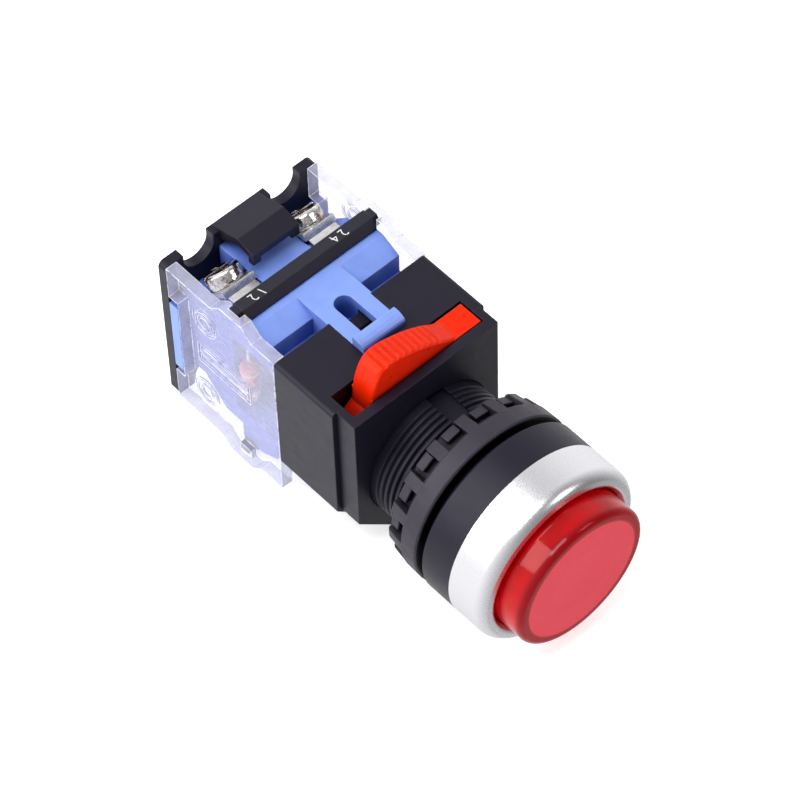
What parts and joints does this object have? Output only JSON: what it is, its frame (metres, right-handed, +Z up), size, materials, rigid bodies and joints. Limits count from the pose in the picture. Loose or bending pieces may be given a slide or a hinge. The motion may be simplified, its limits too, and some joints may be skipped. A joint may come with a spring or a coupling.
{
  "type": "industrial push button",
  "caption": "Illuminated industrial push button: raised red lens in a metal bezel, threaded sleeve with lock nut, orange locking lever and clear-sided screw-terminal contact block.",
  "frame": {"origin": "centre of the gasket's rear face, which lies on the front of the panel", "axes": "+Y along the button's axis into the panel, lens at -Y; +Z up, on the side of the locking lever"},
  "size_m": [0.0283, 0.0693, 0.0358],
  "materials": {
    "black_plastic": "satin moulded",
    "white_plastic": "moulded",
    "blue_plastic": "satin moulded",
    "orange_plastic": "satin moulded",
    "clear_plastic": "clear polycarbonate",
    "red_lens": "polished translucent",
    "satin_aluminium": "satin",
    "nickel": "nickel plated",
    "silver": "silver contact rivet",
    "brass": "plain",
    "spring_steel": "drawn wire",
    "rubber": "matt",
    "resistor_body": "lacquered, banded"
  },
  "bodies": {
    "base": {"head_housing": "black_plastic", "panel_gasket": "rubber", "bezel_ring": "satin_aluminium", "lamp_socket": "brass", "lamp_base": "nickel", "led_capsule": "red_lens", "lamp_carrier": "black_plastic", "lamp_contact": "brass", "adapter_front": "black_plastic", "adapter_body": "black_plastic", "contact_housing": "blue_plastic", "label_bar_top": "black_plastic", "label_bar_bottom": "black_plastic", "side_cover_right": "clear_plastic", "side_cover_left": "clear_plastic", "rear_cover": "black_plastic", "terminal_screws": "nickel", "lock_washers": "nickel", "clamp_plates": "nickel", "fixed_contact_12": "nickel", "fixed_contact_11": "nickel", "fixed_contact_24": "nickel", "fixed_contact_23": "nickel", "fixed_contact_tips": "silver", "button_return_spring": "spring_steel", "pusher_return_spring": "spring_steel", "resistor": "resistor_body", "resistor_leads": "nickel"},
    "button": {"lens_cap": "red_lens", "diffuser": "white_plastic", "button_plunger": "white_plastic"},
    "pusher": {"contact_pusher": "white_plastic", "pusher_clips": "white_plastic", "closed_contact_bridge": "brass", "open_contact_bridge": "brass", "moving_contact_tips": "silver", "closed_contact_spring": "spring_steel", "open_contact_spring": "spring_steel"},
    "lever": {"locking_lever": "orange_plastic"},
    "washer": {"nut_washer": "black_plastic"},
    "nut": {"lock_nut": "black_plastic"}
  },
  "joints": [
    {"name": "button_push", "type": "slide", "parent": "base", "child": "button", "axis": [0, 1, 0], "range_m": [0, 0.004], "stiffness_N_per_m": 450, "springref_m": -0.004, "deforming": ["button_return_spring"]},
    {"name": "pusher_slide", "type": "slide", "parent": "base", "child": "pusher", "axis": [0, 1, 0], "range_m": [0, 0.004], "stiffness_N_per_m": 300, "springref_m": -0.003, "deforming": ["pusher_return_spring"]},
    {"name": "lever_turn", "type": "hinge", "parent": "base", "child": "lever", "pos_m": [0, 0.0174, 0], "axis": [0, -1, 0], "range_deg": [0, 9.5]},
    {"name": "washer_slide", "type": "slide", "parent": "base", "child": "washer", "axis": [0, 1, 0], "range_m": [-0.001, 0.006]},
    {"name": "nut_turn", "type": "hinge", "parent": "washer", "child": "nut", "pos_m": [0, 0.004, 0], "axis": [0, 1, 0], "range_deg": [-360, 2160]}
  ],
  "couplings": [
    {"joint": "pusher_slide", "follows": "button_push", "ratio": 1},
    {"joint": "nut_turn", "follows": "washer_slide", "rad_per_m": 6283.2}
  ]
}
